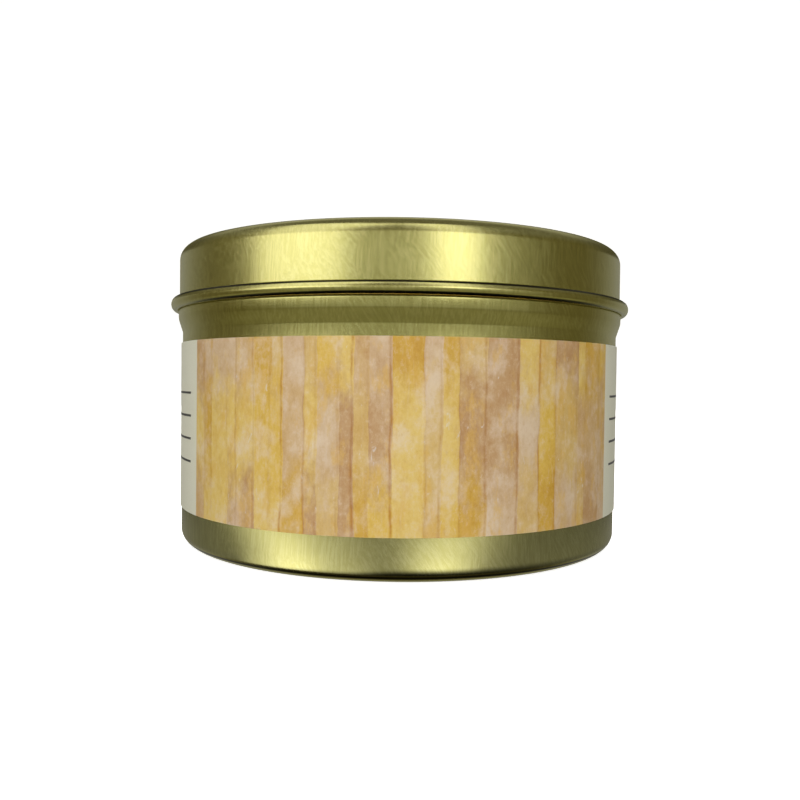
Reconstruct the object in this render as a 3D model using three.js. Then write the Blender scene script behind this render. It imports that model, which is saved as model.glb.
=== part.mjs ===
// A slip-lid candle tin, in millimetres, +Z up, with its origin at the centre of the base.
// A drawn steel cup holds poured wax, a cored cotton wick in its steel tab, and a paper wrap label.
// Every turned piece is a lathe of its section, and all of them share one set of facet angles, so
// the thin gaps between neighbours stay even all the way round.
import * as THREE from "three";

// Driving dimensions.
const SHEET = 0.25; // tinplate thickness of the cup and the lid
const HEIGHT = 49.8; // base to the top of the closed lid
const BODY_R = 38.0; // outside of the cup's wall
const LID_R = 38.5; // outside of the lid's skirt
const GAP = 0.1; // between the wax and what it was poured round
const FILM = 0.05; // adhesive film under a label, dot or tab
const FACETS = 48; // flats round every large turned piece
const FINE_FACETS = 24; // flats round the wick's tab
const WICK_FACETS = 12; // flats round the wick

// The cup.
const FOOT_IN_R = 33.0; // inner edge of the flat foot ring
const PANEL_R = 31.8; // edge of the raised centre of the base
const PANEL_Z = 0.9; // underside of that centre
const BASE_CORNER = 2.4; // radius from the foot ring into the wall
const RIM_Z = 48.6; // top of the cup's rolled rim
const RIM_CURL = 0.8; // outer radius of the rim's inward roll

// The swell below the lid, as radius and height: a flank, a crown, and the shoulder that stops the lid.
const SWELL = [
  [BODY_R, 35.3],
  [38.08, 35.6],
  [38.48, 37.0],
  [38.62, 37.55],
  [38.7, 38.05],
  [38.72, 38.5],
  [38.7, 38.85],
  [38.5, 39.1],
  [38.25, 39.4],
  [BODY_R, 39.7],
];

// The lid.
const LID_CORNER = 2.35; // radius from the top into the skirt
const LID_PANEL_R = 33.6; // edge of the shallow recess in the top
const LID_STEP = 1.0; // width of the slope out of that recess
const LID_PANEL_DROP = 0.6; // depth of that recess
const HEM_Z = 40.0; // middle of the rolled hem round the skirt's foot
const HEM_HALF_H = 1.05; // half the hem's height
const HEM_OUT_R = 39.9; // outermost reach of the hem
const HEM_END = 125; // degrees at which the roll stops short of the skirt

// The wrap label and the base label.
const PAPER = 0.15;
const LABEL_LOW = 6.5;
const LABEL_HIGH = 33.65;
const BASE_LABEL_R = 28.5;

// The candle.
const WAX_TOP = 40.5;
const TAB_R = 10.0;
const TAB_SHEET = 0.3;
const TAB_NECK_R = 1.75;
const TAB_NECK_H = 3.2;
const DOT_THICK = 0.55;
const WICK_R = 1.25;
const CORE_R = 0.45;
const WICK_ABOVE_WAX = 6.0;

// Heights that follow.
const floorZ = PANEL_Z + SHEET;
const dotLow = floorZ + FILM;
const tabLow = dotLow + DOT_THICK + FILM;
const tabHigh = tabLow + TAB_SHEET;
const neckTop = tabHigh + TAB_NECK_H;
const wickTop = WAX_TOP + WICK_ABOVE_WAX;

const radians = THREE.MathUtils.degToRad;

// Points along an ellipse's arc, in degrees from the +radius direction, both ends included.
function arc(centreR, centreZ, halfR, halfZ, from, to, steps) {
  const points = [];
  for (let i = 0; i <= steps; i++) {
    const angle = radians(from + ((to - from) * i) / steps);
    points.push([centreR + halfR * Math.cos(angle), centreZ + halfZ * Math.sin(angle)]);
  }
  return points;
}

// A closed turned solid from its section, listed anticlockwise with radius to the right.
function turned(section, facets = FACETS) {
  const points = section.map(([r, z]) => new THREE.Vector2(r, z));
  return new THREE.LatheGeometry(points, facets).rotateX(Math.PI / 2);
}

// The section of a ring or tube between two radii and two heights, closed on itself.
function ringSection(innerR, outerR, low, high) {
  return [
    [innerR, low],
    [outerR, low],
    [outerR, high],
    [innerR, high],
    [innerR, low],
  ];
}

// The section of a plain disc, which starts and ends on the axis.
function discSection(radius, low, high) {
  return [
    [0, low],
    [radius, low],
    [radius, high],
    [0, high],
  ];
}

// The base and wall, inset from the cup's outer skin: 0 is the skin itself, SHEET its inside.
function cupFloor(inset) {
  const corner = BASE_CORNER - inset;
  const cornerR = BODY_R - BASE_CORNER;
  return [
    [PANEL_R, PANEL_Z + inset],
    [FOOT_IN_R, inset],
    ...arc(cornerR, BASE_CORNER, corner, corner, -90, 0, 5),
  ];
}

function cupSection() {
  const rimR = BODY_R - RIM_CURL;
  const rimZ = RIM_Z - RIM_CURL;
  const hollow = RIM_CURL - SHEET;
  const outside = [[0, PANEL_Z], ...cupFloor(0), ...SWELL];
  const roll = arc(rimR, rimZ, RIM_CURL, RIM_CURL, 0, 300, 10);
  const rollInside = arc(rimR, rimZ, hollow, hollow, 300, 0, 10);
  const inside = [...SWELL].reverse().map(([r, z]) => [r - SHEET, z]);
  return [...outside, ...roll, ...rollInside, ...inside, ...cupFloor(SHEET).reverse(), [0, floorZ]];
}

function lidSection() {
  const cornerR = LID_R - LID_CORNER;
  const cornerZ = HEIGHT - LID_CORNER;
  const cornerIn = LID_CORNER - SHEET;
  const panelZ = HEIGHT - LID_PANEL_DROP;
  const hemHalfR = (HEM_OUT_R - LID_R + SHEET) / 2;
  const hemR = HEM_OUT_R - hemHalfR;
  const hemStart = 180;
  const hemStop = 360 + HEM_END;
  return [
    [0, panelZ - SHEET],
    [LID_PANEL_R, panelZ - SHEET],
    [LID_PANEL_R + LID_STEP, HEIGHT - SHEET],
    ...arc(cornerR, cornerZ, cornerIn, cornerIn, 90, 0, 5),
    ...arc(hemR, HEM_Z, hemHalfR, HEM_HALF_H, hemStart, hemStop, 10),
    ...arc(hemR, HEM_Z, hemHalfR - SHEET, HEM_HALF_H - SHEET, hemStop, hemStart, 10),
    ...arc(cornerR, cornerZ, LID_CORNER, LID_CORNER, 0, 90, 5),
    [LID_PANEL_R + LID_STEP, HEIGHT],
    [LID_PANEL_R, panelZ],
    [0, panelZ],
  ];
}

// The wax fills the cup up to WAX_TOP round the dot, the tab and the wick.
function waxSection() {
  const inset = SHEET + GAP;
  const swell = SWELL.filter(([, z]) => z < WAX_TOP).map(([r, z]) => [r - inset, z]);
  return [
    [TAB_R + GAP, floorZ + GAP],
    ...cupFloor(inset),
    ...swell,
    [BODY_R - inset, WAX_TOP],
    [WICK_R + GAP, WAX_TOP],
    [WICK_R + GAP, neckTop + GAP],
    [TAB_NECK_R + GAP, neckTop + GAP],
    [TAB_NECK_R + GAP, tabHigh + GAP],
    [TAB_R + GAP, tabHigh + GAP],
    [TAB_R + GAP, floorZ + GAP],
  ];
}

// The wick's tab: a thin disc with a neck, through which the wick passes.
function tabSection() {
  const bore = WICK_R + GAP;
  return [
    [bore, tabLow],
    [TAB_R, tabLow],
    [TAB_R, tabHigh],
    [TAB_NECK_R, tabHigh],
    [TAB_NECK_R, neckTop],
    [bore, neckTop],
    [bore, tabLow],
  ];
}

// The paper wrap: once round the cup, with its last facet climbing over its first at the back.
function wrapGeometry() {
  const inner = BODY_R + FILM;
  const lift = PAPER + FILM;
  const last = FACETS + 1;
  const place = (i, extra) => {
    const radius = inner + extra + (i >= FACETS ? lift : 0);
    const angle = Math.PI / 2 + (2 * Math.PI * i) / FACETS;
    return new THREE.Vector2(radius * Math.cos(angle), radius * Math.sin(angle));
  };
  const outline = [];
  for (let i = 0; i <= last; i++) outline.push(place(i, PAPER));
  for (let i = last; i >= 0; i--) outline.push(place(i, 0));
  const options = { depth: LABEL_HIGH - LABEL_LOW, bevelEnabled: false };
  return new THREE.ExtrudeGeometry(new THREE.Shape(outline), options);
}

function material(color, roughness, metalness) {
  return new THREE.MeshStandardMaterial({ color, roughness, metalness });
}

const gold = material(0xb8ad62, 0.35, 1.0);
const paper = material(0xe0bf88, 0.6, 0.0);
const plainPaper = material(0xd9d6c8, 0.7, 0.0);
const soyWax = material(0xf1e8d2, 0.5, 0.0);
const cotton = material(0xeee8da, 0.9, 0.0);
const corePaper = material(0xe2d8bf, 0.95, 0.0);
const tinnedSteel = material(0xb9bcbf, 0.35, 1.0);
const foam = material(0xf3f3ef, 0.8, 0.0);

const candleTin = new THREE.Group();

function add(name, geometry, finish, z = 0) {
  const mesh = new THREE.Mesh(geometry, finish);
  mesh.name = name;
  mesh.position.z = z;
  candleTin.add(mesh);
}

const baseLabelHigh = PANEL_Z - FILM;
add("tin_body", turned(cupSection()), gold);
add("lid", turned(lidSection()), gold);
add("wrap_label", wrapGeometry(), paper, LABEL_LOW);
add("base_label", turned(discSection(BASE_LABEL_R, baseLabelHigh - PAPER, baseLabelHigh)), plainPaper);
add("wax_fill", turned(waxSection()), soyWax);
add("wick_sticker", turned(discSection(TAB_R, dotLow, dotLow + DOT_THICK), FINE_FACETS), foam);
add("wick_tab", turned(tabSection(), FINE_FACETS), tinnedSteel);
add("wick_braid", turned(ringSection(CORE_R + FILM, WICK_R, tabLow, wickTop), WICK_FACETS), cotton);
add("wick_core", turned(discSection(CORE_R, tabLow, wickTop), WICK_FACETS), corePaper);

export default candleTin;
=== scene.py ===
import math
import random

import bmesh
import bpy
import numpy as np
from mathutils import Matrix, Vector


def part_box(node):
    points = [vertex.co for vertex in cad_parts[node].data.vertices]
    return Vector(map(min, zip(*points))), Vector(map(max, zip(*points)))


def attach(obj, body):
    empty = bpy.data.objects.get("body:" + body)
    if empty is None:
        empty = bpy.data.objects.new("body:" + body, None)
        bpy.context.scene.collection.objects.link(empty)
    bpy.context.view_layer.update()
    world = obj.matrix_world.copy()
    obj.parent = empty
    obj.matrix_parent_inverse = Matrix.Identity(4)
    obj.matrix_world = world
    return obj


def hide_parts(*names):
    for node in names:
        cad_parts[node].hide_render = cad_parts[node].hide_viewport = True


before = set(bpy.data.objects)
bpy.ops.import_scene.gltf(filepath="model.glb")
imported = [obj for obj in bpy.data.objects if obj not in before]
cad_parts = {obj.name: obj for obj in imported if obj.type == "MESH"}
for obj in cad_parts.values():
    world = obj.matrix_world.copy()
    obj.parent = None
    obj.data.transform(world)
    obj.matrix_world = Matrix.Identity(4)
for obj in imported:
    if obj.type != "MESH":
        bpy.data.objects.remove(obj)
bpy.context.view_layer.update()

MM = 0.001

# ---------------------------------------------------------------- sizes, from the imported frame


def node_box(node):
    low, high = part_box(node)
    return [v / MM for v in low], [v / MM for v in high]


_, BODY_HIGH = node_box("tin_body")
LID_LOW, LID_HIGH = node_box("lid")
LABEL_LOW, LABEL_HIGH = node_box("wrap_label")
BASE_LABEL_LOW, BASE_LABEL_HIGH = node_box("base_label")
_, WAX_HIGH = node_box("wax_fill")
TAB_LOW, TAB_HIGH = node_box("wick_tab")
DOT_LOW, DOT_HIGH = node_box("wick_sticker")
BRAID_LOW, BRAID_HIGH = node_box("wick_braid")
CORE_LOW, CORE_HIGH = node_box("wick_core")

SHEET = 0.25  # tinplate thickness
PAPER = 0.15
FILM = 0.05  # adhesive film
GAP = 0.1  # round the wax
LABEL_R = LABEL_HIGH[0]  # printed face of the wrap
BODY_R = LABEL_R - PAPER - FILM
SWELL_R = BODY_HIGH[0]
RIM_TOP = BODY_HIGH[2]
LID_TOP = LID_HIGH[2]
HEM_R = LID_HIGH[0]
HEM_LOW = LID_LOW[2]
LID_R = BODY_R + 0.5  # outside of the lid's skirt
PANEL_RISE = BASE_LABEL_HIGH[2] + FILM  # underside of the raised centre of the base
WAX_TOP = WAX_HIGH[2]
WICK_R = BRAID_HIGH[0]
CORE_R = CORE_HIGH[0]
TAB_SHEET = 0.3
TAB_NECK_R = 1.75
ON_AXIS = 1e-6  # a smaller radius than this is taken as being on the axis

# ---------------------------------------------------------------- turned shapes


def arc(centre_r, centre_z, half_r, half_z, start, stop, steps):
    """Points on an ellipse's arc, in degrees from the +radius direction."""
    angles = np.radians(np.linspace(start, stop, steps + 1))
    return [(centre_r + half_r * math.cos(a), centre_z + half_z * math.sin(a)) for a in angles]


def rounded(corners, step=7):
    """A path through (r, z, fillet radius) corners, with an arc of at most `step` degrees a side."""
    path = []
    for i, (r, z, radius) in enumerate(corners):
        if radius == 0 or i in (0, len(corners) - 1):
            path.append((r, z))
            continue
        here = Vector((r, z))
        before = (Vector(corners[i - 1][:2]) - here).normalized()
        after = (Vector(corners[i + 1][:2]) - here).normalized()
        half = before.angle(after) / 2
        turn = math.pi - 2 * half
        middle = (before + after).normalized()
        centre = here + middle * (radius / math.sin(half))
        count = max(2, math.ceil(math.degrees(turn) / step))
        first = here + before * (radius / math.tan(half)) - centre
        sense = 1 if before.cross(after) < 0 else -1
        for k in range(count + 1):
            a = sense * turn * k / count
            cos_a, sin_a = math.cos(a), math.sin(a)
            spoke = (first.x * cos_a - first.y * sin_a, first.x * sin_a + first.y * cos_a)
            path.append((centre.x + spoke[0], centre.y + spoke[1]))
    return path


def inset(corners, amount):
    """The same rounded path moved `amount` to the left of its direction of travel."""
    moved = []
    for i, (r, z, radius) in enumerate(corners):
        here = Vector((r, z))
        into = here - Vector(corners[i - 1][:2]) if i else None
        out = Vector(corners[i + 1][:2]) - here if i < len(corners) - 1 else None
        into = (into or out).normalized()
        out = (out or into).normalized()
        left_in, left_out = Vector((-into.y, into.x)), Vector((-out.y, out.x))
        mitre = (left_in + left_out) / (1 + left_in.dot(left_out))
        turn = into.cross(out)
        fillet = 0 if radius == 0 else max(radius - math.copysign(amount, turn), 0.05)
        spot = here + mitre * amount
        moved.append((spot.x, spot.y, fillet))
    return moved


def densify(path, longest):
    """The same path with extra points, so that no stretch is longer than `longest`."""
    dense = [path[0]]
    for (r0, z0), (r1, z1) in zip(path, path[1:]):
        count = max(1, math.ceil(math.hypot(r1 - r0, z1 - z0) / longest))
        dense += [(r0 + (r1 - r0) * k / count, z0 + (z1 - z0) * k / count) for k in range(1, count + 1)]
    return dense


def finish_mesh(name, verts, faces, material, crease=40):
    mesh = bpy.data.meshes.new(name)
    mesh.from_pydata([tuple(c * MM for c in v) for v in verts], [], faces)
    tidy = bmesh.new()
    tidy.from_mesh(mesh)
    bmesh.ops.recalc_face_normals(tidy, faces=tidy.faces)
    tidy.to_mesh(mesh)
    tidy.free()
    mesh.materials.append(material)
    mesh.polygons.foreach_set("use_smooth", [True] * len(mesh.polygons))
    mesh.set_sharp_from_angle(angle=math.radians(crease))
    piece = bpy.data.objects.new(name, mesh)
    bpy.context.scene.collection.objects.link(piece)
    return piece


def turned(name, section, material, segments=288, warp=None, crease=40):
    """A lathe of a section that starts and ends on the axis, or that is closed on itself.

    warp(r, angle, z) gives the point's own radius and height, for whatever isn't perfectly round.
    """
    closed = section[0][0] > ON_AXIS
    verts, rings = [], []
    for r, z in section:
        if r < ON_AXIS:
            rings.append([len(verts)] * segments)
            verts.append((0, 0, warp(0, 0, z)[1] if warp else z))
            continue
        ring = []
        for k in range(segments):
            angle = 2 * math.pi * k / segments
            rr, zz = warp(r, angle, z) if warp else (r, z)
            ring.append(len(verts))
            verts.append((rr * math.sin(angle), -rr * math.cos(angle), zz))
        rings.append(ring)
    if closed:
        rings.append(rings[0])
    faces = []
    for low, high in zip(rings, rings[1:]):
        for k in range(segments):
            n = (k + 1) % segments
            face = [low[k], low[n], high[n], high[k]]
            face = [v for i, v in enumerate(face) if v != face[i - 1]]
            if len(face) > 2:
                faces.append(face)
    return finish_mesh(name, verts, faces, material, crease)


# ---------------------------------------------------------------- shader graphs


class Graph:
    """A node tree, with a short call for each kind of node that is used here."""

    def __init__(self, owner, shader="Principled BSDF"):
        owner.use_nodes = True
        self.owner = owner
        self.tree = owner.node_tree
        self.shader = self.tree.nodes[shader]

    def feed(self, socket, value):
        if isinstance(value, bpy.types.NodeSocket):
            self.tree.links.new(value, socket)
        elif value is not None:
            socket.default_value = value

    def node(self, kind, inputs=(), **settings):
        node = self.tree.nodes.new(kind)
        for key, value in settings.items():
            setattr(node, key, value)
        for key, value in dict(inputs).items():
            self.feed(node.inputs[key], value)
        return node

    def math(self, operation, a, b=None, c=None, clamp=False):
        inputs = {i: v for i, v in enumerate((a, b, c)) if v is not None}
        return self.node("ShaderNodeMath", inputs, operation=operation, use_clamp=clamp).outputs[0]

    def stretch(self, vector, scale, shear=(0, 0)):
        """Coordinates in millimetres times a scale, after leaning x and y over by z."""
        x, y, z = self.split(vector)
        x = self.math("MULTIPLY_ADD", z, shear[0], x) if shear[0] else x
        y = self.math("MULTIPLY_ADD", z, shear[1], y) if shear[1] else y
        parts = [self.math("MULTIPLY", v, s) for v, s in zip((x, y, z), scale)]
        return self.join(*parts)

    def split(self, vector):
        return self.node("ShaderNodeSeparateXYZ", {0: vector}).outputs

    def join(self, x, y, z=0.0):
        return self.node("ShaderNodeCombineXYZ", {0: x, 1: y, 2: z}).outputs[0]

    def noise(self, vector, scale=1.0, detail=3.0, roughness=0.55, distortion=0.0):
        inputs = {"Vector": vector, "Scale": scale, "Detail": detail, "Roughness": roughness}
        return self.node("ShaderNodeTexNoise", {**inputs, "Distortion": distortion}).outputs[0]

    def span(self, value, low, high, to_low=0.0, to_high=1.0):
        """Maps low..high smoothly to to_low..to_high, clamped."""
        inputs = {"Value": value, "From Min": low, "From Max": high, "To Min": to_low, "To Max": to_high}
        return self.node("ShaderNodeMapRange", inputs, interpolation_type="SMOOTHSTEP").outputs[0]

    def mix(self, factor, a, b, blend="MIX"):
        node = self.node("ShaderNodeMix", data_type="RGBA", blend_type=blend)
        for key, value in ((0, factor), (6, a), (7, b)):
            self.feed(node.inputs[key], value)
        return node.outputs[2]

    def blend(self, factor, a, b):
        """a where the factor is 0 and b where it is 1, for plain numbers."""
        node = self.node("ShaderNodeMix", data_type="FLOAT")
        for key, value in ((0, factor), (2, a), (3, b)):
            self.feed(node.inputs[key], value)
        return node.outputs[0]

    def ramp(self, value, stops, interpolation="LINEAR"):
        """A colour ramp from (position, colour) stops."""
        node = self.node("ShaderNodeValToRGB", {0: value})
        ramp = node.color_ramp
        ramp.interpolation = interpolation
        while len(ramp.elements) > 1:
            ramp.elements.remove(ramp.elements[-1])
        ramp.elements[0].position = stops[0][0]
        ramp.elements[0].color = stops[0][1]
        for position, colour in stops[1:]:
            ramp.elements.new(position).color = colour
        return node.outputs[0]

    def position(self):
        """The surface point in millimetres."""
        coordinates = self.node("ShaderNodeTexCoord").outputs["Object"]
        node = self.node("ShaderNodeVectorMath", {0: coordinates}, operation="SCALE")
        node.inputs["Scale"].default_value = 1 / MM
        return node.outputs[0]

    def bump(self, height, distance, strength=1.0):
        inputs = {"Height": height, "Distance": distance * MM, "Strength": strength}
        return self.node("ShaderNodeBump", inputs).outputs[0]

    def set(self, **sockets):
        for key, value in sockets.items():
            self.feed(self.shader.inputs[key.replace("_", " ")], value)
        return self.owner


def new_material(name):
    return Graph(bpy.data.materials.new(name))


def srgb(r, g, b):
    """A colour given as it looks on screen, 0 to 255, as a linear one."""
    linear = [c / 255 / 12.92 if c <= 10 else ((c / 255 + 0.055) / 1.055) ** 2.4 for c in (r, g, b)]
    return (*linear, 1.0)


# ---------------------------------------------------------------- metal

GOLD = (0.63, 0.585, 0.215, 1.0)
GOLD_DEEP = (0.57, 0.53, 0.2, 1.0)
GOLD_PALE = (0.8, 0.755, 0.345, 1.0)
GOLD_WORN = (0.7, 0.66, 0.42, 1.0)
# Near-black for the shade that is painted along a crease.
PAINTED_CREASE_SHADE = (0.03, 0.025, 0.008, 1.0)


def gold_lacquer(name, wear_low, wear_high, crease):
    """Satin gold lacquer on tinplate: fine upright and slanting hairlines, and rubbed high spots."""
    g = new_material(name)
    place = g.position()
    leaning = g.noise(g.stretch(place, (2.2, 2.2, 0.3), shear=(0.55, 0.3)), detail=5, roughness=0.7)
    upright = g.noise(g.stretch(place, (3.0, 3.0, 0.2), shear=(-0.06, 0.05)), detail=4, roughness=0.7)
    patch = g.span(g.noise(g.stretch(place, (0.09, 0.09, 0.12))), 0.42, 0.6)
    streaks = g.blend(patch, upright, leaning)
    mottle = g.noise(g.stretch(place, (0.3, 0.3, 0.4)), detail=4, roughness=0.55)
    scratch = g.span(g.noise(g.stretch(place, (3.2, 3.2, 0.22), shear=(0.5, -0.3))), 0.72, 0.78)
    tone = g.mix(g.span(mottle, 0.35, 0.7, 0.0, 0.4), GOLD, GOLD_DEEP)
    tone = g.mix(g.span(streaks, 0.4, 0.62, 0.0, 0.5), tone, GOLD_PALE)
    height = g.split(place)[2]
    above = g.span(height, wear_low - 0.5, wear_low)
    below = g.span(height, wear_high + 0.5, wear_high)
    chafe = g.span(g.noise(place, scale=1.3, detail=6, roughness=0.7), 0.6, 0.75)
    rubbed = g.math("MULTIPLY", g.math("MULTIPLY", above, below), chafe)
    worn = g.math("MAXIMUM", g.math("MULTIPLY", rubbed, 0.4), g.math("MULTIPLY", scratch, 0.25))
    tone = g.mix(worn, tone, GOLD_WORN)
    # Painted shade: a near-black band is painted round the height `crease`, where the roll meets the wall.
    depth = g.math("ABSOLUTE", g.math("SUBTRACT", height, crease))
    tone = g.mix(g.span(depth, 0.24, 0.1, 0.0, 0.93), tone, PAINTED_CREASE_SHADE)
    rough = g.math("MULTIPLY_ADD", streaks, 0.12, 0.165)
    rough = g.math("MULTIPLY_ADD", worn, -0.04, rough)
    relief = g.math("MULTIPLY_ADD", mottle, 0.4, streaks)
    normal = g.bump(relief, 0.01, strength=0.3)
    # Hairlines that run up the walls spread a reflection sideways.
    around_axis = g.node("ShaderNodeTangent", direction_type="RADIAL", axis="Z").outputs[0]
    g.set(Base_Color=tone, Metallic=1.0, Roughness=rough, Normal=normal)
    return g.set(Anisotropic=0.8, Tangent=around_axis)


def bare_tinplate():
    g = new_material("bare_tinplate")
    place = g.position()
    lines = g.noise(g.stretch(place, (9.0, 0.6, 9.0)), detail=3)
    cloud = g.noise(place, scale=0.7, detail=4)
    tone = g.mix(g.span(cloud, 0.35, 0.7, 0.0, 0.6), (0.6, 0.61, 0.62, 1), (0.46, 0.46, 0.45, 1))
    rough = g.math("MULTIPLY_ADD", lines, 0.2, 0.22)
    return g.set(Base_Color=tone, Metallic=1.0, Roughness=rough, Normal=g.bump(lines, 0.004))


# ---------------------------------------------------------------- cup and lid

BASE_CORNER = 2.4
RIM_CURL = 0.8
LID_CORNER = 2.35
LID_PANEL_DROP = 0.6  # the shallow recess in the lid's top
HEM_HALF_H = 1.05
HEM_START, HEM_STOP = 184, 485  # degrees that the hem is rolled from and to
SHEET_STEP = 1.6  # longest stretch of a sheet's section
OUT_OF_ROUND = 0.012


def wall_corners(top):
    """The cup's outside from its middle up to `top`, as (r, z, fillet) corners."""
    return [
        (0, PANEL_RISE, 0),
        (31.8, PANEL_RISE, 0.6),
        (33.0, 0, 0.8),
        (BODY_R, 0, BASE_CORNER),
        (BODY_R, 35.4, 0.6),
        (BODY_R + 0.69, 37.55, 2.6),
        (SWELL_R - 0.004, 38.72, 0),
        (SWELL_R, 38.98, 0.15),
        (BODY_R, 39.7, 0.3),
        (BODY_R, top, 0),
    ]


def sheet_warp(amount, phase):
    """Thin drawn sheet is never quite round: a few slow waves, which the reflections show."""

    def warp(r, angle, z):
        wave = math.sin(3 * angle + phase + 0.05 * z) + 0.7 * math.sin(7 * angle - 2 * phase - 0.11 * z)
        wave += 0.5 * math.sin(13 * angle + 0.21 * z + phase)
        return r + amount * wave * min(1, r / BODY_R) ** 4, z

    return warp


def cup_section():
    outside = wall_corners(RIM_TOP - RIM_CURL)
    curl_r, curl_z = BODY_R - RIM_CURL, RIM_TOP - RIM_CURL
    hollow = RIM_CURL - SHEET
    roll = arc(curl_r, curl_z, RIM_CURL, RIM_CURL, 10, 300, 26)
    roll_inside = arc(curl_r, curl_z, hollow, hollow, 300, 10, 26)
    outer = densify(rounded(outside), SHEET_STEP)
    inner = densify(rounded(inset(outside, SHEET)), SHEET_STEP)
    return outer + roll + roll_inside + inner[::-1]


def lid_section():
    panel_z = LID_TOP - LID_PANEL_DROP
    outside = [
        (0, panel_z, 0),
        (33.4, panel_z, 1.2),
        (34.6, LID_TOP, 0.9),
        (LID_R, LID_TOP, LID_CORNER),
        (LID_R, HEM_LOW + 1.4, 0),
    ]
    half_r = (HEM_R - LID_R + SHEET) / 2
    hem_r, hem_z = HEM_R - half_r, HEM_LOW + HEM_HALF_H
    hem = arc(hem_r, hem_z, half_r, HEM_HALF_H, HEM_START, HEM_STOP, 44)
    hem_inside = arc(hem_r, hem_z, half_r - SHEET, HEM_HALF_H - SHEET, HEM_STOP, HEM_START, 44)
    outer = densify(rounded(outside), SHEET_STEP)
    inner = densify(rounded(inset(outside, -SHEET)), SHEET_STEP)
    return inner + hem + hem_inside + outer[::-1]


def make_tin():
    # The cup is worn round its foot and the lid along its hem.
    # Painted shade: the dark crease band lies under the cup's raised base, at PANEL_RISE, and on the lid
    # where its roll meets the wall.
    cup_gold = gold_lacquer("gold_cup", 0.4, 2.2, PANEL_RISE)
    cup = turned("tin_cup", cup_section(), cup_gold, warp=sheet_warp(OUT_OF_ROUND, 0.6))
    lid_gold = gold_lacquer("gold_lid", HEM_LOW, 41.0, HEM_LOW + 1.85)
    lid = turned("tin_lid", lid_section(), lid_gold, warp=sheet_warp(OUT_OF_ROUND, 2.1))
    for piece, body, node in ((cup, "tin", "tin_body"), (lid, "lid", "lid")):
        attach(piece, body)
        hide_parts(node)


# ---------------------------------------------------------------- wrap label

SEAM = math.pi  # the label starts and ends at the back
LAP = math.radians(7.5)
SKEW = 0.1  # it was put on slightly crooked
ART_HALF = 56.0  # degrees that each picture reaches either side of its middle
ART_MIDDLE = 1.5  # degrees that the label was put on turned
BAND_SEED = 7
BAND_COUNT = 24
JOINT_HALF = 0.003  # half a joint's width, as a part of the picture's
WASHES = [
    srgb(194, 156, 112),
    srgb(206, 172, 124),
    srgb(213, 181, 116),
    srgb(220, 184, 88),
    srgb(224, 194, 112),
    srgb(210, 182, 148),
    srgb(208, 166, 70),
]
QUARTZ = srgb(227, 208, 186)
MILK = srgb(222, 219, 216)


def wash_bands():
    """A plain run of upright bands: where each starts, its colours from the foot up, and its joint."""
    dice = random.Random(BAND_SEED)
    widths = [dice.uniform(0.5, 1.5) for _ in range(BAND_COUNT)]
    bands, start = [], 0.0
    for width in widths:
        colours = [dice.choice(WASHES) for _ in range(3)]
        bands.append((start / sum(widths), colours, dice.uniform(0.2, 0.9)))
        start += width
    return bands


def band_colour(g, bands, along, up):
    """The bands' colour, from the foot to the middle to the top."""
    rows = [[(start, colours[level]) for start, colours, _ in bands] for level in range(3)]
    low, middle, high = (g.ramp(along, stops, "CONSTANT") for stops in rows)
    lower = g.mix(g.span(up, 0.05, 0.45), low, middle)
    return g.mix(g.span(up, 0.55, 0.95), lower, high)


def joint_lines(g, bands, along):
    """A darker line where bands meet, in three ramps because a ramp has at most 32 stops."""
    lines = 0.0
    for group in (bands[1::3], bands[2::3], bands[3::3]):
        stops = [(0.0, (0, 0, 0, 1))]
        for at, _, strength in group:
            edges = ((at - JOINT_HALF, 0), (at, strength), (at + JOINT_HALF, 0))
            stops += [(position, (value, value, value, 1)) for position, value in edges]
        lines = g.math("MAXIMUM", lines, g.ramp(along, stops))
    return lines


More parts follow.
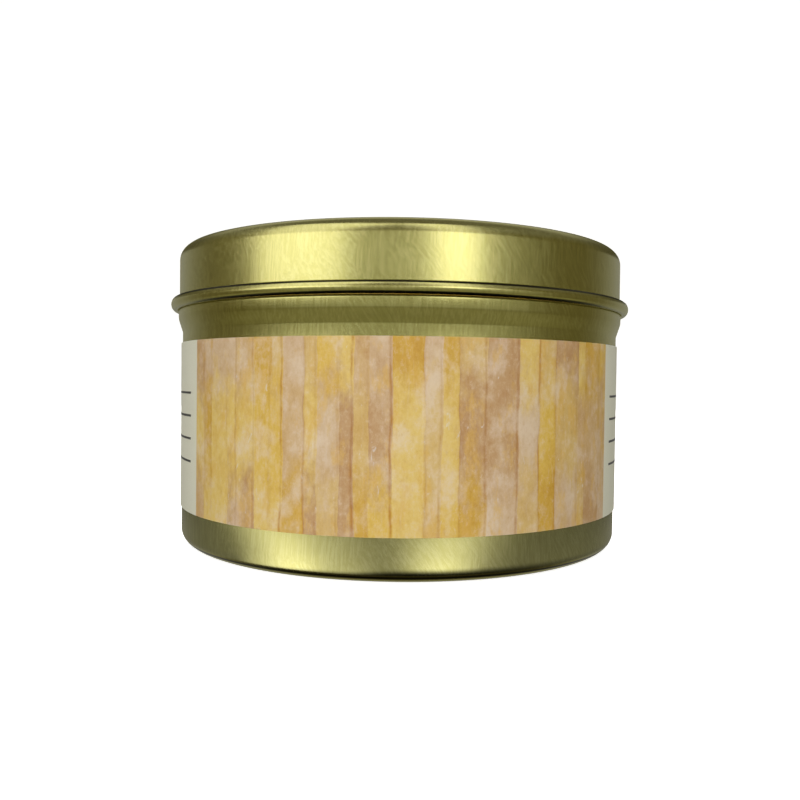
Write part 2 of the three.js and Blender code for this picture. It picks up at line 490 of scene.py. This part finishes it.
def printed_paper():
    """Cream panels and two pictures of plain washed bands in warm tones, printed on satin paper."""
    g = new_material("printed_paper")
    place = g.position()
    uv = g.node("ShaderNodeUVMap", uv_map="wrap").outputs[0]
    turn, up, _ = g.split(uv)
    degrees = g.math("MULTIPLY_ADD", turn, 360.0, -180.0)
    # There is one picture in front and the same one at the back.
    back = g.math("GREATER_THAN", g.math("ABSOLUTE", degrees), 90.0)
    wrapped = g.math("MULTIPLY_ADD", g.math("LESS_THAN", degrees, 0.0), 360.0, degrees)
    angle = g.blend(back, degrees, g.math("SUBTRACT", wrapped, 180.0))
    offset = g.math("SUBTRACT", angle, ART_MIDDLE)

    sway = g.noise(g.stretch(place, (0.3, 0.3, 0.12)), detail=3)
    fray = g.noise(g.stretch(place, (2.2, 2.2, 0.9)), detail=4)
    bent = g.math("MULTIPLY_ADD", g.math("SUBTRACT", sway, 0.5), 1.6, offset)
    bent = g.math("MULTIPLY_ADD", g.math("SUBTRACT", fray, 0.5), 0.35, bent)
    along = g.math("MULTIPLY_ADD", bent, 1 / (2 * ART_HALF), 0.5, clamp=True)
    cloud = g.noise(g.stretch(place, (0.4, 0.4, 0.2)), detail=5, roughness=0.65)
    level = g.math("ADD", up, g.math("SUBTRACT", cloud, 0.5))
    bands = wash_bands()
    art = band_colour(g, bands, along, level)

    # Clouded washes, fibres and milky flecks, each a pass over the last.
    shade = srgb(229, 204, 164)
    wash = g.noise(g.stretch(place, (0.2, 0.2, 0.16)), detail=9, roughness=0.68)
    art = g.mix(g.span(wash, 0.47, 0.66, 0.0, 0.55), art, QUARTZ)
    art = g.mix(g.span(wash, 0.5, 0.34, 0.0, 0.35), art, shade, "MULTIPLY")
    pool = g.noise(g.stretch(place, (0.36, 0.36, 0.16)), detail=9, roughness=0.7)
    art = g.mix(g.span(pool, 0.5, 0.66, 0.0, 0.6), art, srgb(218, 176, 88))
    grain = g.noise(g.stretch(place, (1.2, 1.2, 0.8)), detail=9, roughness=0.82)
    art = g.mix(g.span(grain, 0.5, 0.68, 0.0, 0.4), art, QUARTZ)
    art = g.mix(g.span(grain, 0.5, 0.34, 0.0, 0.35), art, shade, "MULTIPLY")
    fibre = g.noise(g.stretch(place, (2.4, 2.4, 0.3)), detail=6, roughness=0.7)
    art = g.mix(g.span(fibre, 0.52, 0.8, 0.0, 0.2), art, MILK)
    art = g.mix(g.span(fibre, 0.48, 0.22, 0.0, 0.2), art, srgb(222, 194, 148), "MULTIPLY")
    milky = g.noise(g.stretch(place, (1.3, 1.3, 0.4)), detail=4, roughness=0.6, distortion=0.9)
    art = g.mix(g.span(milky, 0.66, 0.73, 0.0, 0.5), art, MILK)
    seam = g.math("MULTIPLY", joint_lines(g, bands, along), g.span(pool, 0.34, 0.6, 0.2, 1.0))
    art = g.mix(seam, art, srgb(210, 162, 84), "MULTIPLY")

    # The cream panels fill the rest, behind the pictures' straight edges.
    picture = g.math("LESS_THAN", g.math("ABSOLUTE", offset), ART_HALF)
    fleck = g.noise(place, scale=6.0, detail=3)
    cream = g.mix(g.span(fleck, 0.3, 0.7), srgb(222, 220, 202), srgb(228, 226, 210))
    tone = g.mix(picture, cream, art)
    weave = g.noise(g.stretch(place, (5.0, 5.0, 3.5)), detail=4, roughness=0.7)
    rough = g.span(weave, 0.3, 0.7, 0.42, 0.56)
    normal = g.bump(weave, 0.012, strength=0.5)
    return g.set(Base_Color=tone, Roughness=rough, Normal=normal, Specular_IOR_Level=0.3)


def wrap_point(angle, z, radius):
    """A point on the wrap, with angle 0 at the front and growing to the right."""
    skewed = z + SKEW * math.sin(angle)
    return (radius * math.sin(angle), -radius * math.cos(angle), skewed)


def make_wrap():
    inner = BODY_R + FILM
    lift = PAPER + FILM
    columns, rows = 368, 10
    verts, grid = [], {}
    uvs = {}
    for face, extra in ((0, 0.0), (1, PAPER)):
        for i in range(columns + 1):
            turn = (2 * math.pi + LAP) * i / columns
            climb = min(1, max(0, (turn - 2 * math.pi + LAP) / LAP))
            radius = inner + extra + lift * climb * climb * (3 - 2 * climb)
            for j in range(rows + 1):
                z = LABEL_LOW[2] + (LABEL_HIGH[2] - LABEL_LOW[2]) * j / rows
                grid[face, i, j] = len(verts)
                uvs[len(verts)] = (turn / (2 * math.pi), j / rows)
                verts.append(wrap_point(turn - SEAM, z, radius))
    faces = []
    for i in range(columns):
        for j in range(rows):
            quad = [(i, j), (i + 1, j), (i + 1, j + 1), (i, j + 1)]
            faces.append([grid[1, a, b] for a, b in quad])
            faces.append([grid[0, a, b] for a, b in quad[::-1]])
    for i in range(columns):
        for j, order in ((0, 1), (rows, -1)):
            faces.append([grid[0, i, j], grid[0, i + 1, j], grid[1, i + 1, j], grid[1, i, j]][::order])
    for j in range(rows):
        for i, order in ((0, -1), (columns, 1)):
            faces.append([grid[0, i, j], grid[0, i, j + 1], grid[1, i, j + 1], grid[1, i, j]][::order])
    wrap = finish_mesh("label_wrap", verts, faces, printed_paper())
    layer = wrap.data.uv_layers.new(name="wrap")
    for loop in wrap.data.loops:
        layer.data[loop.index].uv = uvs[loop.vertex_index]
    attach(wrap, "tin")
    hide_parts("wrap_label")


# ---------------------------------------------------------------- plain rules on the cream panels

INK_PROUD = 0.015
INK_SUNK = 0.02
INK_WIDTH = 0.36
PANEL_MARGIN = 4.0  # degrees left clear between a picture and what is printed on a panel
PANEL_HALF = 90.0 - ART_HALF - PANEL_MARGIN
PANEL_MIDDLE = (LABEL_LOW[2] + LABEL_HIGH[2]) / 2
RULE_COUNT = 4
RULE_PITCH = 3.6


def printing_ink():
    g = new_material("printing_ink")
    place = g.position()
    patch = g.noise(place, scale=2.2, detail=5, roughness=0.7)
    tone = g.mix(g.span(patch, 0.35, 0.7), srgb(38, 36, 34), srgb(74, 71, 66))
    return g.set(Base_Color=tone, Roughness=g.span(patch, 0.3, 0.7, 0.5, 0.38))


def around(degrees):
    """Millimetres round the label for an angle."""
    return math.radians(degrees) * LABEL_R


def stroke(verts, faces, path):
    """Adds one inked line, a thin closed ribbon along a path of (along, height) points."""
    dense = densify(path, 0.8)
    first, count = len(verts), len(dense)
    for i, here in enumerate(dense):
        before, after = dense[max(i - 1, 0)], dense[min(i + 1, count - 1)]
        along = (Vector(after) - Vector(before)).normalized()
        side = Vector((-along.y, along.x)) * (INK_WIDTH / 2)
        for reach, radius in ((1, -INK_SUNK), (1, INK_PROUD), (-1, INK_PROUD), (-1, -INK_SUNK)):
            spot = Vector(here) + side * reach
            verts.append(wrap_point(spot.x / LABEL_R, spot.y, LABEL_R + radius))
    for i in range(count - 1):
        a, b = first + 4 * i, first + 4 * (i + 1)
        faces += [[a + k, b + k, b + (k + 1) % 4, a + (k + 1) % 4] for k in range(4)]
    end = first + 4 * (count - 1)
    faces += [[first + k for k in range(4)], [end + k for k in range(4)][::-1]]


def make_print():
    """Blank ruled lines to write on, the same on both cream panels."""
    verts, faces = [], []
    half = around(PANEL_HALF)
    for panel in (-90, 90):
        middle = around(panel + ART_MIDDLE)
        for line in range(RULE_COUNT):
            height = PANEL_MIDDLE + RULE_PITCH * (line - (RULE_COUNT - 1) / 2)
            stroke(verts, faces, [(middle - half, height), (middle + half, height)])
    ink = finish_mesh("label_print", verts, faces, printing_ink(), crease=20)
    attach(ink, "tin")


# ---------------------------------------------------------------- wax, wick and the blank base label


def soy_wax():
    """Creamy poured wax with frosted patches, faint specks and a satin skin."""
    g = new_material("soy_wax")
    place = g.position()
    frost = g.noise(place, scale=0.16, detail=6, roughness=0.68, distortion=0.8)
    fern = g.noise(g.stretch(place, (0.9, 0.5, 0.7), shear=(0.3, 0.2)), detail=6, roughness=0.72)
    pit = g.node("ShaderNodeTexVoronoi", {"Vector": place, "Scale": 0.5}).outputs[0]
    tone = g.mix(g.span(frost, 0.4, 0.66), srgb(240, 228, 198), srgb(248, 242, 226))
    tone = g.mix(g.span(fern, 0.5, 0.72, 0.0, 0.4), tone, srgb(252, 249, 240))
    rough = g.math("ADD", g.span(frost, 0.35, 0.7, 0.34, 0.52), g.span(fern, 0.4, 0.7, 0.0, 0.08))
    dents = g.math("MULTIPLY", g.span(pit, 0.0, 0.16), 0.6)
    relief = g.math("ADD", g.math("ADD", fern, g.math("MULTIPLY", frost, 2.0)), dents)
    normal = g.bump(relief, 0.06, strength=0.6)
    g.set(Base_Color=tone, Roughness=rough, Normal=normal, Subsurface_Weight=0.45)
    return g.set(Subsurface_Radius=(1.0, 0.7, 0.4), Subsurface_Scale=1.5 * MM, IOR=1.44)


def waxed_cotton():
    """Plied cotton: fine yarn running along every strand, darker in the hollows between the plies."""
    g = new_material("waxed_cotton")
    uv = g.node("ShaderNodeUVMap", uv_map="strand").outputs[0]
    across, along, _ = g.split(uv)
    lay = g.math("MULTIPLY_ADD", along, 9.0, g.math("MULTIPLY", across, 6.0))
    ply = g.math("SINE", g.math("MULTIPLY", lay, 2 * math.pi))
    fibre = g.noise(g.join(g.math("MULTIPLY", across, 14.0), g.math("MULTIPLY", along, 5.0)), detail=4)
    tone = g.mix(g.span(ply, -0.7, 0.6), srgb(214, 203, 178), srgb(244, 238, 222))
    tone = g.mix(g.span(fibre, 0.4, 0.7, 0.0, 0.5), tone, srgb(250, 246, 236))
    rough = g.span(ply, -1.0, 1.0, 0.6, 0.85)
    relief = g.math("ADD", ply, fibre)
    g.set(Base_Color=tone, Roughness=rough, Normal=g.bump(relief, 0.03), Sheen_Weight=0.15)
    return g.owner


def core_paper():
    g = new_material("core_paper")
    place = g.position()
    fibre = g.noise(g.stretch(place, (4.0, 4.0, 1.2), shear=(0.6, -0.4)), detail=5, roughness=0.7)
    tone = g.mix(g.span(fibre, 0.35, 0.7), srgb(206, 193, 160), srgb(230, 221, 196))
    rough = g.span(fibre, 0.3, 0.7, 0.85, 0.95)
    return g.set(Base_Color=tone, Roughness=rough, Normal=g.bump(fibre, 0.03))


def foam():
    """Closed-cell adhesive foam."""
    g = new_material("adhesive_foam")
    place = g.position()
    cell = g.node("ShaderNodeTexVoronoi", {"Vector": place, "Scale": 4.5}).outputs[0]
    blotch = g.noise(place, scale=0.6, detail=3)
    tone = g.mix(g.span(cell, 0.1, 0.6), srgb(214, 213, 206), srgb(240, 240, 236))
    tone = g.mix(g.span(blotch, 0.4, 0.65, 0.0, 0.3), tone, srgb(228, 224, 208))
    return g.set(Base_Color=tone, Roughness=g.span(cell, 0.0, 0.6, 0.7, 0.9), Normal=g.bump(cell, 0.05))


def plain_paper():
    """Uncoated off-white stock with soft fibres and the odd darker fleck."""
    g = new_material("plain_paper")
    place = g.position()
    fibre = g.noise(g.stretch(place, (2.4, 1.4, 2.0), shear=(0.4, 0.3)), detail=6, roughness=0.72)
    fleck = g.span(g.noise(place, scale=2.6, detail=2), 0.72, 0.76)
    tone = g.mix(g.span(fibre, 0.35, 0.68), srgb(222, 219, 206), srgb(234, 232, 222))
    tone = g.mix(g.math("MULTIPLY", fleck, 0.5), tone, srgb(170, 160, 136))
    rough = g.span(fibre, 0.3, 0.7, 0.62, 0.78)
    return g.set(Base_Color=tone, Roughness=rough, Normal=g.bump(fibre, 0.015))


def pool_ripple(r, angle, z):
    """The wax's skin set in slow swells, strongest between the wall and the wick."""
    if z < WAX_TOP - 1.2:
        return r, z
    swell = math.sin(2 * angle + 0.7 + 0.12 * r) + 0.6 * math.sin(5 * angle - 0.3 * r)
    swell += 0.5 * math.sin(0.55 * r)
    fade = min(1, max(0, (r - 2.5) / 5)) * min(1, max(0, (BODY_R - SHEET - GAP - r) / 4))
    return r, z + 0.07 * swell * fade


def make_wax():
    floor = PANEL_RISE + SHEET + GAP
    wall = BODY_R - SHEET - GAP
    tab_r, tab_top, neck_top = TAB_HIGH[0], DOT_HIGH[2] + FILM + TAB_SHEET, TAB_HIGH[2]
    skin = rounded(inset(wall_corners(WAX_TOP + 0.2), SHEET + GAP))
    skin = [(r, z) for r, z in skin if r > tab_r + GAP]
    pool = [
        (wall, WAX_TOP + 0.2, 0),
        (wall - 0.35, WAX_TOP - 0.12, 0.9),
        (wall - 2.6, WAX_TOP - 0.42, 3.0),
        (24.0, WAX_TOP - 0.36, 20.0),
        (9.0, WAX_TOP - 0.5, 20.0),
        (3.4, WAX_TOP - 0.62, 3.0),
        (WICK_R + 0.5, WAX_TOP - 0.4, 0.6),
        (WICK_R + GAP, WAX_TOP, 0),
    ]
    bore = [
        (WICK_R + GAP, neck_top + GAP, 0),
        (TAB_NECK_R + GAP, neck_top + GAP, 0),
        (TAB_NECK_R + GAP, tab_top + GAP, 0),
        (tab_r + GAP, tab_top + GAP, 0),
        (tab_r + GAP, floor, 0),
    ]
    section = densify(skin, 2.0) + densify(rounded(pool), 0.7)[1:]
    section += densify([(r, z) for r, z, _ in bore], 3.0)
    wax = turned("wax_pour", section, soy_wax(), segments=192, warp=pool_ripple)
    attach(wax, "tin")
    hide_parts("wax_fill")


STRANDS_EACH_WAY = 4
STRAND_HALF_WIDTH = 0.47
STRAND_SIDES = 10
BRAID_PITCH = 6.0


def make_wick():
    low, high = BRAID_LOW[2], BRAID_HIGH[2]
    thick = (WICK_R - CORE_R - FILM) / 4
    middle = WICK_R - 2 * thick
    steps = math.ceil((high - low) * 5)
    sides = STRAND_SIDES
    verts, faces, uvs = [], [], []
    for way in (1, -1):
        for strand in range(STRANDS_EACH_WAY):
            first = len(verts)
            for i in range(steps + 1):
                z = low + (high - low) * i / steps
                turn = 2 * math.pi * z / BRAID_PITCH
                angle = way * turn + 2 * math.pi * strand / STRANDS_EACH_WAY
                radius = middle + way * thick * 0.94 * math.cos(STRANDS_EACH_WAY * turn)
                rise = math.atan2(BRAID_PITCH, 2 * math.pi * middle)
                for k in range(sides):
                    a = 2 * math.pi * k / sides
                    across, out = STRAND_HALF_WIDTH * math.cos(a), thick * math.sin(a)
                    spin = angle + way * across * math.sin(rise) / middle
                    reach = radius + out
                    up = z - across * math.cos(rise)
                    up = min(high, max(low, up))
                    verts.append((reach * math.sin(spin), -reach * math.cos(spin), up))
                    uvs.append((k / sides, i / steps * (high - low) / BRAID_PITCH))
            for i in range(steps):
                for k in range(sides):
                    a, b = first + i * sides, first + (i + 1) * sides
                    n = (k + 1) % sides
                    faces.append([a + k, a + n, b + n, b + k])
            end = first + steps * sides
            faces += [[first + k for k in range(sides)], [end + k for k in range(sides)][::-1]]
    braid = finish_mesh("wick_plait", verts, faces, waxed_cotton())
    layer = braid.data.uv_layers.new(name="strand")
    for loop in braid.data.loops:
        layer.data[loop.index].uv = uvs[loop.vertex_index]

    def twist(r, angle, z):
        return r * (0.93 + 0.07 * math.cos(3 * angle + 2 * math.pi * z / 4)), z

    core_low, core_high = CORE_LOW[2], CORE_HIGH[2]
    rod = [
        (0, core_low, 0),
        (CORE_R, core_low, 0.1),
        (CORE_R, core_high, 0.1),
        (0, core_high - 0.05, 0),
    ]
    core = turned("wick_paper", densify(rounded(rod), 0.5), core_paper(), segments=24, warp=twist)
    for piece, node, slot in ((braid, "wick_braid", "waxed_cotton"), (core, "wick_core", "core_paper")):
        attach(piece, "tin")
        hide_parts(node)


def make_tab():
    low, top, high = TAB_LOW[2], TAB_LOW[2] + TAB_SHEET, TAB_HIGH[2]
    bore, edge = WICK_R + GAP, TAB_HIGH[0]
    disc = [
        (bore, low, 0),
        (edge, low, 0.12),
        (edge, top, 0.12),
        (8.4, top, 0.3),
        (8.2, top - 0.06, 0.3),
        (7.4, top - 0.06, 0.3),
        (7.2, top, 0.3),
        (TAB_NECK_R, top, 0.35),
        (TAB_NECK_R, high, 0.12),
        (bore, high, 0.1),
        (bore, low, 0),
    ]

    def crimp(r, angle, z):
        pinch = min(1, max(0, (z - top - 0.6) / 0.6)) * min(1, max(0, (high - z) / 0.5))
        return r - 0.07 * pinch * (1 + math.cos(4 * angle)) / 2, z

    tab = turned("wick_clip", densify(rounded(disc), 0.4), bare_tinplate(), segments=128, warp=crimp)
    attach(tab, "tin")
    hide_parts("wick_tab")


def make_dot():
    low, high, edge = DOT_LOW[2], DOT_HIGH[2], DOT_HIGH[0]
    pad = [
        (0, low, 0),
        (edge - 0.1, low, 0.08),
        (edge, (low + high) / 2, 0.3),
        (edge - 0.1, high, 0.08),
        (0, high, 0),
    ]

    def knife_cut(r, angle, z):
        return r - 0.04 * (1 + math.sin(9 * angle) * math.sin(4 * angle + 1)) * (r > edge - 1), z

    dot = turned("wick_pad", densify(rounded(pad), 0.6), foam(), segments=160, warp=knife_cut)
    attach(dot, "tin")
    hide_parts("wick_sticker")


def make_base_label():
    low, high, edge = BASE_LABEL_LOW[2], BASE_LABEL_HIGH[2], BASE_LABEL_HIGH[0]
    disc = [(0, low, 0), (edge, low, 0.05), (edge, high, 0.03), (0, high, 0)]

    def cockle(r, angle, z):
        """The sticker lies flat but for a slight wave at its edge, away from the tin."""
        wave = 1 + math.sin(5 * angle + 0.4) * math.sin(2 * angle)
        return r, z - 0.02 * wave * min(1, r / edge) ** 8 * (z < high - 0.01)

    label = turned("base_sticker", densify(rounded(disc), 1.2), plain_paper(), segments=192, warp=cockle)
    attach(label, "tin")
    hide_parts("base_label")


make_tin()
make_wrap()
make_print()
make_wax()
make_wick()
make_tab()
make_dot()
make_base_label()

# ---------------------------------------------------------------- camera, light and stage

CAMERA_DISTANCE = 0.1431  # metres
CAMERA_HEIGHT = 0.0276
CAMERA_PITCH = 1.375  # degrees down
CAMERA_ROLL = 0.714
CAMERA_YAW = -0.1
LENS = 35.32


def make_camera():
    data = bpy.data.cameras.new("camera")
    data.lens = LENS
    data.sensor_width = 36.0
    data.clip_start = 0.01
    camera = bpy.data.objects.new("camera", data)
    bpy.context.scene.collection.objects.link(camera)
    camera.location = (0, -CAMERA_DISTANCE, CAMERA_HEIGHT)
    yaw = Matrix.Rotation(math.radians(CAMERA_YAW), 3, "Z")
    pitch = Matrix.Rotation(math.radians(90 - CAMERA_PITCH), 3, "X")
    roll = Matrix.Rotation(math.radians(CAMERA_ROLL), 3, "Z")
    camera.rotation_euler = (yaw @ pitch @ roll).to_euler()
    bpy.context.scene.camera = camera


LIGHT_DISTANCE = 0.6
LIGHT_AIM = Vector((0, 0, 0.025))  # the tin's middle


def panel(name, azimuth, elevation, width, height, radiance):
    """A soft rectangular light, placed and sized in degrees as seen from the tin."""
    a, e = math.radians(azimuth), math.radians(elevation)
    toward = Vector((math.sin(a) * math.cos(e), -math.cos(a) * math.cos(e), math.sin(e)))
    data = bpy.data.lights.new(name, "AREA")
    data.shape = "RECTANGLE"
    data.size = 2 * LIGHT_DISTANCE * math.tan(math.radians(width) / 2)
    data.size_y = 2 * LIGHT_DISTANCE * math.tan(math.radians(height) / 2)
    data.energy = radiance * 4 * data.size * data.size_y
    light = bpy.data.objects.new(name, data)
    bpy.context.scene.collection.objects.link(light)
    light.location = LIGHT_AIM + toward * LIGHT_DISTANCE
    light.rotation_euler = toward.to_track_quat("Z", "Y").to_euler()
    light.visible_camera = False
    return light


def make_lights():
    # Tall softboxes seen in the metal, left and right of the camera.
    for name, azimuth, elevation, width, height, radiance in (
        ("key_left", -48, 13.5, 45, 15, 1.1),
        ("key_right", 26, 13.5, 20, 15, 1.6),
        ("front_fill", -4, 13.5, 24, 15, 0.08),
    ):
        panel(name, azimuth, elevation, width, height, radiance)
    # The same boxes carry on overhead, and broad soft light falls on everything that isn't metal.
    for name, azimuth, elevation, width, height, radiance in (
        ("top_left", -48, 44, 42, 46, 0.85),
        ("top_right", 26, 44, 18, 46, 1.0),
    ):
        panel(name, azimuth, elevation, width, height, radiance).visible_diffuse = False
    for name, azimuth, elevation, width, height, radiance in (
        ("broad_left", -32, 25, 60, 60, 1.05),
        ("broad_right", 30, 25, 60, 60, 0.85),
        ("broad_back", 180, 30, 70, 60, 0.9),
        ("overhead", 0, 90, 70, 70, 0.9),
    ):
        panel(name, azimuth, elevation, width, height, radiance).visible_glossy = False


def make_world():
    """A dim room: a pale horizon in front, paler still behind, and a warm dark at both sides."""
    world = bpy.data.worlds.new("world")
    bpy.context.scene.world = world
    g = Graph(world, "Background")
    x, y, z = g.split(g.node("ShaderNodeTexCoord").outputs["Generated"])
    behind = g.span(y, 0.25, 0.85)
    front = g.span(y, -0.15, -0.75)
    level = g.mix(behind, (0.115, 0.1, 0.042, 1), (0.33, 0.335, 0.33, 1))
    horizon = g.math("MULTIPLY", front, g.span(g.math("ABSOLUTE", z), 0.42, 0.16))
    level = g.mix(horizon, level, (0.34, 0.34, 0.27, 1))
    table = g.math("MULTIPLY", g.span(y, 0.4, 0.1), g.span(z, -0.22, -0.45))
    level = g.mix(table, level, (0.25, 0.24, 0.15, 1))
    level = g.mix(g.span(z, 0.35, 0.7), level, (0.15, 0.145, 0.12, 1))
    rear = g.math("MULTIPLY", g.span(y, 0.32, 0.7), g.span(z, 0.5, 0.66))
    level = g.mix(rear, level, (0.5, 0.5, 0.47, 1))
    shade = g.math("MULTIPLY", g.span(z, 0.17, 0.24), g.span(z, 0.56, 0.48))
    level = g.mix(g.math("MULTIPLY", shade, g.span(y, 0.3, 0.6)), level, (0.07, 0.065, 0.04, 1))
    floor = g.math("MULTIPLY", g.span(z, -0.54, -0.68), g.span(y, 0.5, 0.2))
    level = g.mix(floor, level, (0.03, 0.026, 0.015, 1))
    g.set(Color=level, Strength=1.0)


STAGE_SEGMENTS = 96
GLOW_HEIGHT = -0.05
SPREAD_FROM = 39.6  # radius from which the sheen's pattern widens
SPREAD_RATE = 0.0244  # and how much it does, for each millimetre further out
# How brightly the table shines round the tin: degrees from the front, and radiance.
TABLE_GLOW = [(-110, 0.3), (-60, 0.14), (-41, 0.16), (-31, 0.95), (-26, 1.5), (-21, 1.3), (-16, 0.75)]
TABLE_GLOW += [(-9, 0.5), (-4, 0.28), (0, 0.32), (5, 0.95), (10, 1.35), (15, 0.95), (20, 0.32), (28, 0.16)]
TABLE_GLOW += [(60, 0.14), (110, 0.3)]


def make_table_glow():
    """The near table's sheen, which shows only in the metal and only at a glancing angle."""
    g = new_material("table_glow")
    x, y, _ = g.split(g.position())
    reach = g.math("SQRT", g.math("ADD", g.math("MULTIPLY", x, x), g.math("MULTIPLY", y, y)))
    azimuth = g.math("ARCTAN2", x, g.math("MULTIPLY", y, -1.0))
    spread = g.math("MULTIPLY_ADD", g.math("SUBTRACT", reach, SPREAD_FROM), SPREAD_RATE, 1.0)
    degrees = g.math("DIVIDE", g.math("MULTIPLY", azimuth, 180 / math.pi), spread)
    stops = [((angle + 180) / 360, (level / 2,) * 3 + (1,)) for angle, level in TABLE_GLOW]
    glow = g.ramp(g.math("MULTIPLY_ADD", degrees, 1 / 360, 0.5), stops)
    facing = g.node("ShaderNodeLayerWeight", {0: 0.5}).outputs["Facing"]
    # The sheen reaches closer under the tin on the left than on the right.
    beyond = g.span(reach, 41, 45)
    low = g.blend(beyond, g.span(degrees, -12, 4, -0.03, 0.12), 0.3)
    high = g.blend(beyond, g.span(degrees, -12, 4, 0.36, 0.74), 0.7)
    glance = g.span(facing, low, high)
    near = g.math("MULTIPLY", g.span(reach, 90, 70), g.span(reach, 66, 39, 0.92, 1.12))
    strength = g.math("MULTIPLY", g.math("MULTIPLY", glance, near), 2.0)
    g.set(Base_Color=(0, 0, 0, 1), Roughness=1.0, Specular_IOR_Level=0.0)
    sheen = g.set(Emission_Color=glow, Emission_Strength=strength)
    rings = [(r, GLOW_HEIGHT) for r in (38.3, 45, 55, 65, 78, 92)]
    add_stage("table_glow", rings, -1, sheen, ("visible_camera", "visible_diffuse", "visible_shadow"))


def add_stage(name, profile, start, material, unseen):
    """A round open surface through (r, z) rings, which start on the side of `start` in y."""
    verts, faces = [], []
    for r, z in profile:
        for k in range(STAGE_SEGMENTS):
            angle = 2 * math.pi * k / STAGE_SEGMENTS
            verts.append((r * math.sin(angle), start * r * math.cos(angle), z))
    for j in range(len(profile) - 1):
        low, high = j * STAGE_SEGMENTS, (j + 1) * STAGE_SEGMENTS
        for k in range(STAGE_SEGMENTS):
            n = (k + 1) % STAGE_SEGMENTS
            faces.append([low + k, low + n, high + n, high + k])
    mesh = bpy.data.meshes.new(name)
    mesh.from_pydata([tuple(c * MM for c in v) for v in verts], [], faces)
    mesh.materials.append(material)
    mesh.polygons.foreach_set("use_smooth", [True] * len(mesh.polygons))
    stage = bpy.data.objects.new(name, mesh)
    bpy.context.scene.collection.objects.link(stage)
    for ray in unseen:
        setattr(stage, ray, False)


def make_stage():
    g = new_material("stage_white")
    place = g.position()
    tone = g.mix(g.noise(place, scale=0.01), (0.86, 0.86, 0.86, 1), (0.88, 0.88, 0.88, 1))
    white = g.set(Base_Color=tone, Roughness=0.9, Emission_Color=(1, 1, 1, 1), Emission_Strength=0.84)
    # A round tent: floor, a wide cove and an upright wall.
    cove = arc(1100, 500, 500, 500, 270, 360, 16)
    profile = [(0, 0), (60, 0), (200, 0), (1100, 0)] + cove + [(1600, 2600)]
    add_stage("stage", profile, 1, white, ("visible_glossy", "visible_diffuse", "visible_shadow"))
    bpy.context.scene.view_settings.view_transform = "Standard"


make_camera()
make_lights()
make_world()
make_stage()
make_table_glow()
